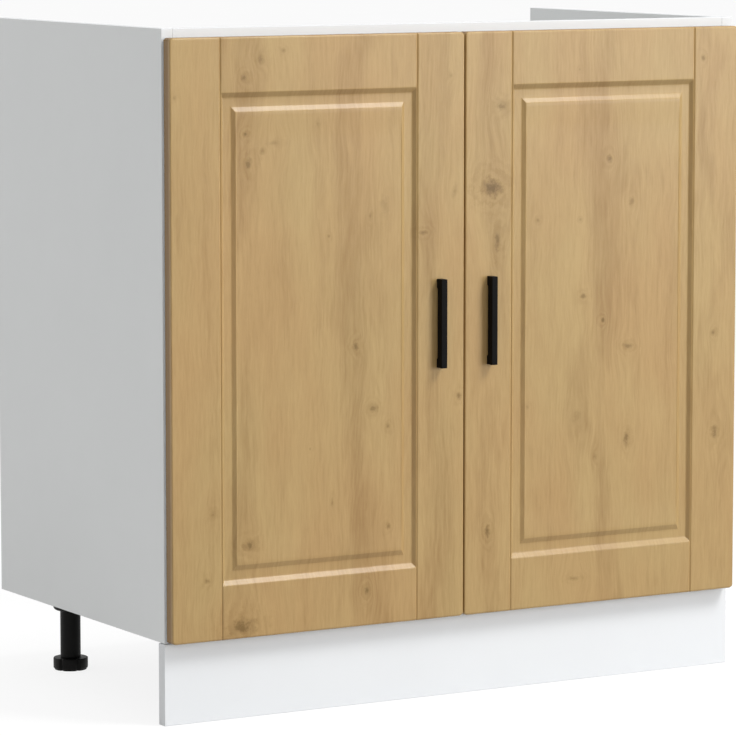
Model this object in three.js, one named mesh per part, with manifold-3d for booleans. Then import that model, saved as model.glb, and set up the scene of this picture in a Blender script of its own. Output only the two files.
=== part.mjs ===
// Sink base cabinet: a white board carcass on four screw feet, open at the top and the back for the
// sink and its pipes, with two routed doors on concealed hinges, bar handles and a clip-on plinth.
// Millimetres. +X right, +Y back, +Z up. The pieces are drawn with y = 0 at the carcass's front plane;
// the whole group is then moved so that its origin is at the bottom centre of the bounding box.

import * as THREE from 'three';
import { mergeVertices } from 'three/addons/utils/BufferGeometryUtils.js';
import Module from 'manifold-3d';

const wasm = await Module();
wasm.setup();

// ---- Driving dimensions ----

// Carcass
const cabinetWidth = 800;
const cabinetHeight = 815;
const carcassDepth = 442.5;
const boardThickness = 15;
const legHeight = 98;
const frontRailHeight = 100;
const rearRailHeight = 100;
const rearRailDrop = 80;

// Doors: a flat frame, a routed slope down to a ledge, and a slope back up to the centre panel
const doorThickness = 16;
const doorBackGap = 1.5;
const doorSideReveal = 2;
const doorCentreGap = 2;
const doorTopReveal = 10.5;
const doorBottomReveal = 0.5;
const doorCornerRadius = 5;
const doorEdgeRound = 1.5;
const frameWidth = 65;
const routDepth = 4;
const openingSlope = 5;
const ledgeWidth = 11.5;
const panelSlope = 5;
const grooveWidth = 2.6;
const grooveDepth = 1.3;

// Handles and their screws
const handleLength = 107;
const handleWidth = 8;
const handleProjection = 12;
const handleRelief = 2;
const handleFootLength = 11;
const handleEase = 0.8;
const handleHoleSpacing = 96;
const handleHeight = 457;
const handleInset = 34.5;
const handleScrewDiameter = 4;
const handleScrewBite = 8;
const handleScrewHead = { diameter: 9, height: 2.2 };

// Hinges
const hingeEndDistance = 120;
const cup = { diameter: 35, depth: 11.3, rimOffset: 4, floor: 1.6 };
const cupCavity = { outward: 14.5, inward: 13.5, halfHeight: 7.5 };
const cupFlange = { thickness: 1, radius: 18.6, halfLength: 29, halfWidth: 7.5, offset: 9.5 };
const cupScrewSpacing = 45;
const pin = { offset: 7.5, depth: 4.5, diameter: 3, bite: 1 };
const link = { length: 46, thickness: 3, halfHeight: 4.5, eyeRadius: 3.5, restAngle: 4.2 };
const arm = { setback: 2, length: 62, halfHeight: 8, sheet: 1.2, screwFromEnd: 9 };
const armTop = { nose: 24, tail: 17, bendStart: 34, bendEnd: 48, ease: 3 };
const armFoot = { nose: 7, tail: 4, bendStart: 36, bendEnd: 40 };
const plate = { thickness: 2.5, front: 22, back: 62, halfHeight: 6.3, ridgeFront: 46 };
const plateWing = { halfLength: 24, halfWidth: 8 };
const plateScrew = { line: 37, spacing: 32, diameter: 5, length: 10 };
const hingeScrewHead = { diameter: 7.5, height: 1.2 };
const driverSlot = { length: 4.4, width: 1.2, depth: 1 };

// Cam locks, their bolts, and dowels
const cam = { diameter: 15, height: 12, fromEnd: 24, sunk: 0.2 };
const camChamber = { width: 7.2, nearEnd: 3.9, farEnd: -2.8, neckWidth: 5 };
const cross = { length: 8, width: 1.4, depth: 2 };
const bolt = { thread: 5, shank: 6, neck: 3.6, head: 6.4 };
const boltLength = { thread: 8.5, toNeck: 15, toHead: 20.5, toEnd: 24.5 };
const dowel = { diameter: 8, inRail: 20, inSide: 10 };
const railFittingDistance = 32;
const bottomCamInset = 112;

// Legs and plinth
const legInset = { side: 66, ends: 61 };
const socket = { diameter: 43, height: 23, round: 9 };
const column = { diameter: 25.5 };
const foot = { diameter: 43.4, height: 15, lobes: 6, notchRadius: 2.4, notchOffset: 0.6 };
const stem = { diameter: 17.5, top: 80, headroom: 10 };
const legPeg = { diameter: 10, length: 10 };
const plinthThickness = 15;
const plinthTopGap = 1;
const clip = { height: 50, band: 16, wall: 3, neckHalfWidth: 6, reach: 6 };
const clipPlate = { width: 44, thickness: 2.5, height: 30 };

// Room round a piece that sits in a hole, and past the end of one
const fitGap = 0.3;
const endGap = 0.5;

// How far a cutting shape starts outside the face that it cuts
const over = 1;

const roundSegments = 16;
const smallSegments = 8;
const arcSegments = 3;
const easeSegments = 2;

// ---- Places worked out from them ----

const halfWidth = cabinetWidth / 2;
const innerX = halfWidth - boardThickness;
const midBoard = boardThickness / 2;
const doorBack = -doorBackGap;
const doorFront = doorBack - doorThickness;
const doorEdgeX = halfWidth - doorSideReveal;
const doorBottom = legHeight + doorBottomReveal;
const doorTop = cabinetHeight - doorTopReveal;
const handleFront = doorFront - handleProjection;
const frontRailBottom = cabinetHeight - frontRailHeight;
const rearRailTop = cabinetHeight - rearRailDrop;
const rearRailBottom = rearRailTop - rearRailHeight;
const rearRailFace = carcassDepth - boardThickness;

const sides = { left: -1, right: 1 };
const hingeHeights = { lower: doorBottom + hingeEndDistance, upper: doorTop - hingeEndDistance };
const legXs = { left: -(halfWidth - legInset.side), right: halfWidth - legInset.side };
const legYs = { front: legInset.ends, rear: carcassDepth - legInset.ends };
const handleHoles = {
  lower: handleHeight - handleHoleSpacing / 2,
  upper: handleHeight + handleHoleSpacing / 2,
};
const hingeScrewRows = [-plateScrew.spacing / 2, plateScrew.spacing / 2];

// Where a cam lock draws each board's ends to the sides: its centre on the board's face, and the
// direction from that face into the board
const up = new THREE.Vector3(0, 0, 1);
const forwards = new THREE.Vector3(0, -1, 0);
const backwards = new THREE.Vector3(0, 1, 0);
const camPlaces = {
  bottom_front: { y: bottomCamInset, z: legHeight, into: up },
  bottom_rear: { y: carcassDepth - bottomCamInset, z: legHeight, into: up },
  front_rail: { y: boardThickness, z: cabinetHeight - railFittingDistance, into: forwards },
  rear_rail: { y: rearRailFace, z: rearRailTop - railFittingDistance, into: backwards },
};
const dowelPlaces = {
  front_rail: { y: midBoard, z: frontRailBottom + railFittingDistance },
  rear_rail: { y: rearRailFace + midBoard, z: rearRailBottom + railFittingDistance },
};

// ---- Materials ----

function finish(color, roughness, metalness = 0) {
  return new THREE.MeshStandardMaterial({ color, roughness, metalness });
}

const whiteBoard = () => finish(0xf0f0f0, 0.45);
const oakFoil = () => finish(0xc4a577, 0.55);
const blackMetal = () => finish(0x161514, 0.45, 0.6);
const blackPlastic = () => finish(0x1a1918, 0.5);
const nickel = () => finish(0xb9bbbd, 0.3, 1);
const zinc = () => finish(0x9a9c9e, 0.4, 1);
const beech = () => finish(0xd3b184, 0.7);

// ---- Shapes ----

const cabinet = new THREE.Group();

function piece(name, geometry, material, x = 0, y = 0, z = 0) {
  const mesh = new THREE.Mesh(geometry, material);
  mesh.name = name;
  mesh.position.set(x, y, z);
  cabinet.add(mesh);
}

// A geometry as a solid for joining and cutting: shared corners merged, collapsed faces left out
function solidOf(geometry) {
  const bare = new THREE.BufferGeometry();
  bare.setAttribute('position', geometry.getAttribute('position').clone());
  if (geometry.getIndex()) bare.setIndex(geometry.getIndex().clone());
  const merged = mergeVertices(bare, 1e-4);
  const corners = merged.getIndex().array;
  const faces = [];
  for (let i = 0; i < corners.length; i += 3) {
    const [a, b, c] = [corners[i], corners[i + 1], corners[i + 2]];
    if (a !== b && b !== c && c !== a) faces.push(a, b, c);
  }
  return new wasm.Manifold(new wasm.Mesh({
    numProp: 3,
    vertProperties: Float32Array.from(merged.getAttribute('position').array),
    triVerts: Uint32Array.from(faces),
  }));
}

function geometryOf(solid) {
  const mesh = solid.getMesh();
  const geometry = new THREE.BufferGeometry();
  geometry.setAttribute('position', new THREE.BufferAttribute(mesh.vertProperties, 3));
  geometry.setIndex(new THREE.BufferAttribute(mesh.triVerts, 1));
  return geometry;
}

function join(...geometries) {
  return geometryOf(geometries.map(solidOf).reduce((sum, next) => sum.add(next)));
}

function cut(geometry, ...tools) {
  return geometryOf(tools.map(solidOf).reduce((rest, tool) => rest.subtract(tool), solidOf(geometry)));
}

function common(geometry, other) {
  return geometryOf(solidOf(geometry).intersect(solidOf(other)));
}

// A box between two limits on each axis, given in either order
function block(x, y, z) {
  const sizes = [x, y, z].map(([a, b]) => Math.abs(b - a));
  const middles = [x, y, z].map(([a, b]) => (a + b) / 2);
  return new THREE.BoxGeometry(...sizes).translate(...middles);
}

// A block whose front face, at the lower y, is wider and taller than its back face by spread a side
function tapered(x, y, z, spread) {
  const geometry = block(x, y, z);
  const position = geometry.getAttribute('position');
  const middle = [(x[0] + x[1]) / 2, (y[0] + y[1]) / 2, (z[0] + z[1]) / 2];
  for (let i = 0; i < position.count; i += 1) {
    if (position.getY(i) > middle[1]) continue;
    position.setX(i, position.getX(i) + spread * Math.sign(position.getX(i) - middle[0]));
    position.setZ(i, position.getZ(i) + spread * Math.sign(position.getZ(i) - middle[2]));
  }
  return geometry;
}

// A round bar between two points
function rod(from, to, diameter, segments = smallSegments) {
  const start = new THREE.Vector3(...from);
  const along = new THREE.Vector3(...to).sub(start);
  const geometry = new THREE.CylinderGeometry(diameter / 2, diameter / 2, along.length(), segments);
  const turn = new THREE.Quaternion();
  turn.setFromUnitVectors(new THREE.Vector3(0, 1, 0), along.clone().normalize());
  return geometry.applyQuaternion(turn).translate(...start.addScaledVector(along, 0.5).toArray());
}

// A piece turned about the z axis, from [radius, height] points that start and end on the axis
function turned(points) {
  const profile = points.map(([radius, height]) => new THREE.Vector2(radius, height));
  return new THREE.LatheGeometry(profile, roundSegments).rotateX(Math.PI / 2);
}

function outline(points) {
  return new THREE.Shape(points.map(([a, b]) => new THREE.Vector2(a, b)));
}

function roundedOutline(a, b, radius) {
  const shape = new THREE.Shape();
  shape.moveTo(a[0] + radius, b[0]);
  shape.lineTo(a[1] - radius, b[0]);
  shape.absarc(a[1] - radius, b[0] + radius, radius, -Math.PI / 2, 0);
  shape.lineTo(a[1], b[1] - radius);
  shape.absarc(a[1] - radius, b[1] - radius, radius, 0, Math.PI / 2);
  shape.lineTo(a[0] + radius, b[1]);
  shape.absarc(a[0] + radius, b[1] - radius, radius, Math.PI / 2, Math.PI);
  shape.lineTo(a[0], b[0] + radius);
  shape.absarc(a[0] + radius, b[0] + radius, radius, Math.PI, 1.5 * Math.PI);
  return shape;
}

// An outline pushed along z by a depth. An ease rounds the edges of both end faces, which adds itself
// to the depth at each end.
function extrude(shape, depth, ease = 0) {
  return new THREE.ExtrudeGeometry(shape, {
    depth,
    curveSegments: arcSegments,
    bevelEnabled: ease > 0,
    bevelSize: ease,
    bevelThickness: ease,
    bevelOffset: -ease,
    bevelSegments: easeSegments,
  });
}

// An outline in x and y, pushed along z between two heights
function alongZ(shape, z) {
  return extrude(shape, z[1] - z[0]).translate(0, 0, z[0]);
}

// An outline in x and z, pushed along y
function alongY(shape, y) {
  return extrude(shape, y[1] - y[0]).rotateX(Math.PI / 2).translate(0, y[1], 0);
}

// An outline in y and z, pushed along x
const yzOutlineToX = new THREE.Matrix4().makeBasis(
  new THREE.Vector3(0, 1, 0), new THREE.Vector3(0, 0, 1), new THREE.Vector3(1, 0, 0));

function alongX(shape, x, ease = 0) {
  const geometry = extrude(shape, Math.abs(x[1] - x[0]) - 2 * ease, ease);
  return geometry.applyMatrix4(yzOutlineToX).translate(Math.min(...x) + ease, 0, 0);
}

// ---- Holes that the joining fittings sit in ----

function holeAcross(x, y, z, diameter) {
  return rod([x[0], y, z], [x[1], y, z], diameter + 2 * fitGap);
}

function sidePanelHoles(side) {
  const inside = side * (innerX - over);
  const holes = [];
  for (const { y, z, into } of Object.values(camPlaces)) {
    const end = side * (innerX + boltLength.thread + endGap);
    holes.push(holeAcross([inside, end], y + into.y * midBoard, z + into.z * midBoard, bolt.thread));
  }
  for (const { y, z } of Object.values(dowelPlaces)) {
    holes.push(holeAcross([inside, side * (innerX + dowel.inSide + endGap)], y, z, dowel.diameter));
  }
  for (const height of Object.values(hingeHeights)) {
    for (const row of hingeScrewRows) {
      const end = side * (innerX + plateScrew.length + endGap);
      holes.push(holeAcross([inside, end], plateScrew.line, height + row, plateScrew.diameter));
    }
  }
  return holes;
}

// The pocket of a cam lock, and the bore from the board's end that its bolt comes through
function camHoles({ y, z, into }, side) {
  const face = new THREE.Vector3(side * (innerX - cam.fromEnd), y, z);
  const mouth = face.clone().addScaledVector(into, -over);
  const floor = face.clone().addScaledVector(into, cam.sunk + cam.height + fitGap);
  const axis = face.clone().addScaledVector(into, midBoard);
  const pocket = rod(mouth.toArray(), floor.toArray(), cam.diameter + 2 * fitGap, roundSegments);
  const bore = holeAcross([side * (innerX + over), axis.x], axis.y, axis.z, bolt.head);
  return [pocket, bore];
}

function dowelHole({ y, z }, side) {
  return holeAcross([side * (innerX + over), side * (innerX - dowel.inRail - endGap)], y, z, dowel.diameter);
}

// ---- Carcass boards ----

for (const [sideName, side] of Object.entries(sides)) {
  const board = block([side * innerX, side * halfWidth], [0, carcassDepth], [legHeight, cabinetHeight]);
  piece(`side_panel_${sideName}`, cut(board, ...sidePanelHoles(side)), whiteBoard());
}

const bothSides = Object.values(sides);

const bottomHoles = bothSides.flatMap((side) => [
  ...camHoles(camPlaces.bottom_front, side),
  ...camHoles(camPlaces.bottom_rear, side),
]);
const pegHoles = Object.values(legXs).flatMap((x) => Object.values(legYs).map((y) => rod(
  [x, y, legHeight - over], [x, y, legHeight + legPeg.length + endGap],
  legPeg.diameter + 2 * fitGap, roundSegments)));
const bottomBoard = block([-innerX, innerX], [0, carcassDepth], [legHeight, legHeight + boardThickness]);
piece('bottom_panel', cut(bottomBoard, ...bottomHoles, ...pegHoles), whiteBoard());

function railHoles(railName) {
  return bothSides.flatMap((side) => [
    ...camHoles(camPlaces[railName], side),
    dowelHole(dowelPlaces[railName], side),
  ]);
}

const frontRail = block([-innerX, innerX], [0, boardThickness], [frontRailBottom, cabinetHeight]);
piece('front_rail', cut(frontRail, ...railHoles('front_rail')), whiteBoard());

const rearRail = block([-innerX, innerX], [rearRailFace, carcassDepth], [rearRailBottom, rearRailTop]);
piece('rear_rail', cut(rearRail, ...railHoles('rear_rail')), whiteBoard());

// ---- Cam locks, cam bolts and dowels ----

// Drawn with its slotted face down on z = 0 and its chamber open towards +x, where the bolt comes in
function camLock({ y, z, into }, side) {
  const towardsSide = new THREE.Vector3(side, 0, 0);
  const turn = new THREE.Matrix4().makeBasis(towardsSide, into.clone().cross(towardsSide), into);
  const centred = (size) => [-size / 2, size / 2];
  const aroundBolt = (size) => [midBoard - size / 2, midBoard + size / 2];
  const slotDepth = [cam.sunk - over, cam.sunk + cross.depth];
  const lock = cut(
    rod([0, 0, cam.sunk], [0, 0, cam.sunk + cam.height], cam.diameter, roundSegments),
    block([camChamber.farEnd, camChamber.nearEnd], centred(camChamber.width), aroundBolt(camChamber.width)),
    block([0, cam.diameter / 2 + over], centred(camChamber.neckWidth), aroundBolt(camChamber.neckWidth)),
    block(centred(cross.length), centred(cross.width), slotDepth),
    block(centred(cross.width), centred(cross.length), slotDepth),
  );
  return lock.applyMatrix4(turn).translate(side * (innerX - cam.fromEnd), y, z);
}

// Distances are from the side panel's inner face, towards the middle of the cabinet
function camBolt(side, y, z) {
  const at = (distance) => [side * (innerX - distance), y, z];
  return join(
    rod(at(-boltLength.thread), at(over), bolt.thread),
    rod(at(0), at(boltLength.toNeck), bolt.shank),
    rod(at(boltLength.toNeck - over), at(boltLength.toHead + over), bolt.neck),
    rod(at(boltLength.toHead), at(boltLength.toEnd), bolt.head),
  );
}

for (const [sideName, side] of Object.entries(sides)) {
  for (const [placeName, place] of Object.entries(camPlaces)) {
    const [y, z] = [place.y + place.into.y * midBoard, place.z + place.into.z * midBoard];
    piece(`cam_lock_${placeName}_${sideName}`, camLock(place, side), zinc());
    piece(`cam_bolt_${placeName}_${sideName}`, camBolt(side, y, z), nickel());
  }
  for (const [railName, { y, z }] of Object.entries(dowelPlaces)) {
    const ends = [side * (innerX + dowel.inSide), side * (innerX - dowel.inRail)];
    piece(`dowel_${railName}_${sideName}`, rod([ends[0], y, z], [ends[1], y, z], dowel.diameter), beech());
  }
}

// ---- Doors ----

// The two slots of a screw head's cross recess, from a function that makes one from its two half sizes
function driverCross(slot) {
  const [long, short] = [driverSlot.length / 2, driverSlot.width / 2];
  return [slot(long, short), slot(short, long)];
}

// The routed ring: from the frame's edge down to the ledge, and up again to the centre panel.
// Both slopes are carried on past the front face, so that the cut leaves clean edges.
function routedRing(x, z) {
  const inset = (limits, by) => [limits[0] + by, limits[1] - by];
  const ledge = frameWidth + openingSlope;
  const panelFoot = ledge + ledgeWidth;
  const openingRate = openingSlope / routDepth;
  const panelRate = panelSlope / routDepth;
  const front = doorFront - over;
  const ledgeY = doorFront + routDepth;
  const opening = tapered(inset(x, ledge), [front, ledgeY], inset(z, ledge), openingRate * (ledgeY - front));
  const panelBase = panelFoot - panelRate * over;
  const panel = tapered(
    inset(x, panelBase), [front, ledgeY + over], inset(z, panelBase), -panelRate * (ledgeY + over - front));
  return cut(opening, panel);
}

// The V-grooves that carry the stiles' inner edges through the top and bottom rails
function railGroove(edgeX, towards, z) {
  const start = edgeX + towards * frameWidth;
  const rate = grooveWidth / 2 / grooveDepth;
  const middle = start + towards * grooveWidth / 2;
  const half = grooveWidth / 2 + rate * over;
  const section = [
    [middle - half, doorFront - over],
    [middle + half, doorFront - over],
    [middle, doorFront + grooveDepth],
  ];
  return alongZ(outline(section), z);
}

function doorSlab(x, z) {
  const face = extrude(roundedOutline(x, z, doorCornerRadius), doorThickness, doorEdgeRound);
  face.rotateX(Math.PI / 2).translate(0, doorBack + doorEdgeRound, 0);
  const wider = (limits) => [limits[0] - over, limits[1] + over];
  return common(face, block(wider(x), [doorFront - over, doorBack], wider(z)));
}

for (const [sideName, side] of Object.entries(sides)) {
  const x = [side * doorEdgeX, side * doorCentreGap / 2].sort((a, b) => a - b);
  const z = [doorBottom, doorTop];
  const railSpan = frameWidth + grooveDepth * openingSlope / routDepth + over;
  const rails = [[z[0] - over, z[0] + railSpan], [z[1] - railSpan, z[1] + over]];
  const grooves = rails.flatMap((rail) => [railGroove(x[0], 1, rail), railGroove(x[1], -1, rail)]);
  const cupX = side * (doorEdgeX - cup.rimOffset - cup.diameter / 2);
  const cupHoles = Object.values(hingeHeights).map((height) => rod(
    [cupX, doorBack + over, height], [cupX, doorBack - cup.depth - endGap, height],
    cup.diameter + 2 * fitGap, roundSegments));
  const handleX = side * (doorCentreGap / 2 + handleInset);
  const screwHoles = Object.values(handleHoles).map((height) => rod(
    [handleX, doorBack + over, height], [handleX, doorFront - over, height],
    handleScrewDiameter + 2 * endGap));
  const slab = doorSlab(x, z);
  piece(`door_${sideName}`, cut(slab, routedRing(x, z), ...grooves, ...cupHoles, ...screwHoles), oakFoil());

  // The handle stands on a short foot at each end, with the bar between them just clear of the door
  const half = handleLength / 2;
  const relief = half - handleFootLength;
  const sectionPoints = [
    [doorFront, -half], [handleFront, -half], [handleFront, half], [doorFront, half],
    [doorFront, relief], [doorFront - handleRelief, relief],
    [doorFront - handleRelief, -relief], [doorFront, -relief],
  ];
  const bar = alongX(outline(sectionPoints), [-handleWidth / 2, handleWidth / 2], handleEase);
  const threadEnd = doorFront - handleScrewBite - endGap;
  const threads = [-handleHoleSpacing / 2, handleHoleSpacing / 2].map((row) => rod(
    [0, doorFront + over, row], [0, threadEnd, row], handleScrewDiameter + 2 * fitGap));
  piece(`handle_${sideName}`, cut(bar, ...threads), blackMetal(), handleX, 0, handleHeight);

  for (const [row, height] of Object.entries(handleHoles)) {
    const headEnd = doorBack + handleScrewHead.height;
    const head = rod([0, doorBack, 0], [0, headEnd, 0], handleScrewHead.diameter);
    const shank = rod([0, headEnd - over, 0], [0, doorFront - handleScrewBite, 0], handleScrewDiameter);
    const slotDepth = [headEnd - driverSlot.depth, headEnd + over];
    const slots = driverCross((a, b) => block([-a, a], slotDepth, [-b, b]));
    piece(`handle_screw_${sideName}_${row}`, cut(join(head, shank), ...slots), nickel(), handleX, 0, height);
  }
}

// ---- Hinges ----
// Each is drawn at its own height, with s the distance from the side panel's inner face inwards.
// With the door shut, the cup's pin carries the link's eye, and the link's tail lies in the arm.

function hinge(side) {
  const x = (s) => -side * s;
  const overlay = doorEdgeX - innerX;
  const cupS = cup.rimOffset + cup.diameter / 2 - overlay;
  const pinS = cupS + pin.offset;
  const pinY = doorBack - pin.depth;
  const flangeTop = doorBack + cupFlange.thickness;

  const barS = cupS + cupFlange.offset;
  const bar = roundedOutline(
    [x(barS) - cupFlange.halfWidth, x(barS) + cupFlange.halfWidth],
    [-cupFlange.halfLength, cupFlange.halfLength], cupFlange.halfWidth - over);
  const cavity = block(
    [x(cupS - cupCavity.outward), x(cupS + cupCavity.inward)],
    [doorBack - cup.depth + cup.floor, flangeTop + over], [-cupCavity.halfHeight, cupCavity.halfHeight]);
  const shell = cut(join(
    rod([x(cupS), flangeTop, 0], [x(cupS), doorBack - cup.depth, 0], cup.diameter, roundSegments),
    rod([x(cupS), flangeTop, 0], [x(cupS), doorBack, 0], 2 * cupFlange.radius, roundSegments),
    alongY(bar, [doorBack, flangeTop]),
  ), cavity);
  const pinEnd = cupCavity.halfHeight + pin.bite;
  const screwHeads = [-1, 1].map((end) => {
    const row = end * cupScrewSpacing / 2;
    const top = flangeTop + hingeScrewHead.height;
    return rod([x(barS), doorBack + fitGap, row], [x(barS), top, row], hingeScrewHead.diameter);
  });
  const pinRod = rod([x(pinS), pinY, -pinEnd], [x(pinS), pinY, pinEnd], pin.diameter);
  const cupPiece = join(shell, pinRod, ...screwHeads);

  const half = link.thickness / 2;
  const reach = link.length - half;
  const linkPiece = cut(
    join(
      block([-half, half], [0, reach], [-link.halfHeight, link.halfHeight]),
      rod([0, 0, -link.halfHeight], [0, 0, link.halfHeight], 2 * link.eyeRadius),
      rod([0, reach, -link.halfHeight], [0, reach, link.halfHeight], link.thickness),
    ),
    rod([0, 0, -link.halfHeight - over], [0, 0, link.halfHeight + over], pin.diameter + 2 * fitGap),
  );
  linkPiece.rotateZ(-side * THREE.MathUtils.degToRad(link.restAngle)).translate(x(pinS), pinY, 0);

  // A folded channel, open towards the side panel, whose top steps down behind the link's tail
  const armEnd = arm.setback + arm.length;
  const wall = [
    [armFoot.nose, arm.setback], [armFoot.nose, armFoot.bendStart], [armFoot.tail, armFoot.bendEnd],
    [armFoot.tail, armEnd], [armTop.tail, armEnd], [armTop.tail, armTop.bendEnd],
    [armTop.nose, armTop.bendStart], [armTop.nose, arm.setback + armTop.ease],
    [armTop.nose - armTop.ease, arm.setback],
  ];
  const webUnderside = { nose: armTop.nose - arm.sheet, tail: armTop.tail - arm.sheet };
  const under = [
    [-over, arm.setback - over], [-over, armEnd + over], [webUnderside.tail, armEnd + over],
    [webUnderside.tail, armTop.bendEnd - arm.sheet / 2],
    [webUnderside.nose, armTop.bendStart - arm.sheet / 2], [webUnderside.nose, arm.setback - over],
  ];
  const across = (points) => outline(points.map(([s, y]) => [x(s), y]));
  const inner = arm.halfHeight - arm.sheet;
  const screwY = armEnd - arm.screwFromEnd;
  const armScrewTop = armTop.tail + hingeScrewHead.height;
  const armScrewDepth = [x(armScrewTop - driverSlot.depth), x(armScrewTop + over)];
  const armScrewSlots = driverCross((a, b) => block(armScrewDepth, [screwY - a, screwY + a], [-b, b]));
  const channel = cut(
    alongZ(across(wall), [-arm.halfHeight, arm.halfHeight]),
    alongZ(across(under), [-inner, inner]));
  const armScrew = rod(
    [x(armTop.tail - arm.sheet / 2), screwY, 0], [x(armScrewTop), screwY, 0], hingeScrewHead.diameter);
  const armPiece = cut(join(channel, armScrew), ...armScrewSlots);

  // The winged plate that the arm sits on, with its two screws in the side panel
  const wing = roundedOutline(
    [plateScrew.line - plateWing.halfWidth, plateScrew.line + plateWing.halfWidth],
    [-plateWing.halfLength, plateWing.halfLength], plateWing.halfWidth - over);
  const plateHeads = hingeScrewRows.map((row) => rod(
    [x(plate.thickness - over), plateScrew.line, row],
    [x(plate.thickness + hingeScrewHead.height), plateScrew.line, row], hingeScrewHead.diameter));
  const plateShanks = hingeScrewRows.map((row) => rod(
    [x(plate.thickness - over), plateScrew.line, row],
    [x(-plateScrew.length), plateScrew.line, row], plateScrew.diameter));
  const ridge = [-plate.halfHeight, plate.halfHeight];
  const platePiece = join(
    alongX(wing, [x(0), x(plate.thickness)]),
    block([x(0), x(plate.thickness)], [plate.front, plate.back], ridge),
    block([x(0), x(webUnderside.tail)], [plate.ridgeFront, plate.back], ridge),
    ...plateHeads, ...plateShanks,
  );
  return { cup: cupPiece, link: linkPiece, arm: armPiece, plate: platePiece };
}

for (const [sideName, side] of Object.entries(sides)) {
  for (const [row, height] of Object.entries(hingeHeights)) {
    for (const [part, geometry] of Object.entries(hinge(side))) {
      piece(`hinge_${part}_${sideName}_${row}`, geometry, nickel(), side * innerX, 0, height);
    }
  }
}

// ---- Legs ----

const socketBottom = legHeight - socket.height;
const socketRadius = socket.diameter / 2;
const boreRadius = stem.diameter / 2 + fitGap;
const columnBottom = foot.height + fitGap;
const bowl = [15, 30, 45, 60, 75, 90].map((degrees) => {
  const angle = THREE.MathUtils.degToRad(degrees);
  const centre = [socketRadius - socket.round, socketBottom + socket.round];
  return [centre[0] + socket.round * Math.sin(angle), centre[1] - socket.round * Math.cos(angle)];
});
const housingProfile = [
  [0, stem.top + stem.headroom], [boreRadius, stem.top + stem.headroom], [boreRadius, columnBottom],
  [column.diameter / 2, columnBottom], [column.diameter / 2, socketBottom], ...bowl,
  [socketRadius, legHeight], [legPeg.diameter / 2, legHeight],
  [legPeg.diameter / 2, legHeight + legPeg.length], [0, legHeight + legPeg.length],
];

function screwFoot() {
  const notches = Array.from({ length: foot.lobes }, (_, i) => {
    const angle = (i + 0.5) * 2 * Math.PI / foot.lobes;
    const radius = foot.diameter / 2 + foot.notchOffset;
    const [x, y] = [radius * Math.cos(angle), radius * Math.sin(angle)];
    return rod([x, y, -over], [x, y, foot.height + over], 2 * foot.notchRadius);
  });
  const disc = rod([0, 0, 0], [0, 0, foot.height], foot.diameter, 2 * roundSegments);
  const spindle = rod([0, 0, foot.height - over], [0, 0, stem.top], stem.diameter, roundSegments);
  return join(cut(disc, ...notches), spindle);
}

for (const [row, y] of Object.entries(legYs)) {
  for (const [sideName, x] of Object.entries(legXs)) {
    piece(`leg_housing_${row}_${sideName}`, turned(housingProfile), blackPlastic(), x, y);
    piece(`screw_foot_${row}_${sideName}`, screwFoot(), blackPlastic(), x, y);
  }
}

// ---- Plinth and the clips that hold it to the front legs ----

const plinthTop = legHeight - plinthTopGap;
piece('plinth', block([-halfWidth, halfWidth], [0, plinthThickness], [0, plinthTop]), whiteBoard());

const gripRadius = column.diameter / 2 + fitGap;
const clipEnd = legYs.front + clip.reach;
const bandFront = legYs.front - gripRadius - clip.wall;
const bandZ = [clip.height - clip.band / 2, clip.height + clip.band / 2];
const clipBack = plinthThickness + clipPlate.thickness;
const plateHalf = { x: clipPlate.width / 2, z: clipPlate.height / 2 };
const clipBase = block(
  [-plateHalf.x, plateHalf.x], [plinthThickness, clipBack],
  [clip.height - plateHalf.z, clip.height + plateHalf.z]);
const clipNeck = block(
  [-clip.neckHalfWidth, clip.neckHalfWidth], [plinthThickness, bandFront + clip.wall], bandZ);
const clipBand = block([-gripRadius - clip.wall, gripRadius + clip.wall], [bandFront, clipEnd], bandZ);
const gripZ = [bandZ[0] - over, bandZ[1] + over];
const grip = join(
  rod([0, legYs.front, gripZ[0]], [0, legYs.front, gripZ[1]], 2 * gripRadius, roundSegments),
  block([-gripRadius, gripRadius], [legYs.front, clipEnd + over], gripZ),
);
for (const [sideName, x] of Object.entries(legXs)) {
  piece(`plinth_clip_${sideName}`, cut(join(clipBase, clipNeck, clipBand), grip), blackPlastic(), x);
}

// The origin: bottom centre of the bounding box, which runs from the handles' fronts to the carcass's back
cabinet.position.y = -(carcassDepth + handleFront) / 2;

export default cabinet;
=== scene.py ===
import math

import bmesh
import bpy
import numpy as np
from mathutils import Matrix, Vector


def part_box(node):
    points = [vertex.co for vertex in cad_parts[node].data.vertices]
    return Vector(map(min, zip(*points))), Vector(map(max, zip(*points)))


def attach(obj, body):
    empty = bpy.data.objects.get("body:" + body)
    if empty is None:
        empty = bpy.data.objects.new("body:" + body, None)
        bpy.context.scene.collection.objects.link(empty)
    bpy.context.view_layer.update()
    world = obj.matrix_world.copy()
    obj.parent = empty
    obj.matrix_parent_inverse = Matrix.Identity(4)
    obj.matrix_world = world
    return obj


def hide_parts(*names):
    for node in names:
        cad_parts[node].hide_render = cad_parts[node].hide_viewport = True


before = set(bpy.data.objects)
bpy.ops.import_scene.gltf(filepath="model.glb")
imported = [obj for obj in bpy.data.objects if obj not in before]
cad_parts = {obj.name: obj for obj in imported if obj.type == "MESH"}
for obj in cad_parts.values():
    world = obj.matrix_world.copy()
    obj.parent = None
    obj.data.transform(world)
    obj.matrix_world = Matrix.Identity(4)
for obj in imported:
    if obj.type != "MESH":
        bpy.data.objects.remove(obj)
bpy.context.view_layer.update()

# ---- Viewpoint ---------------------------------------------------------------------------------
# The cabinet is seen through a long lens from well back on its left, a little above its top, so both
# doors, the left side and one rear leg show.

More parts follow.
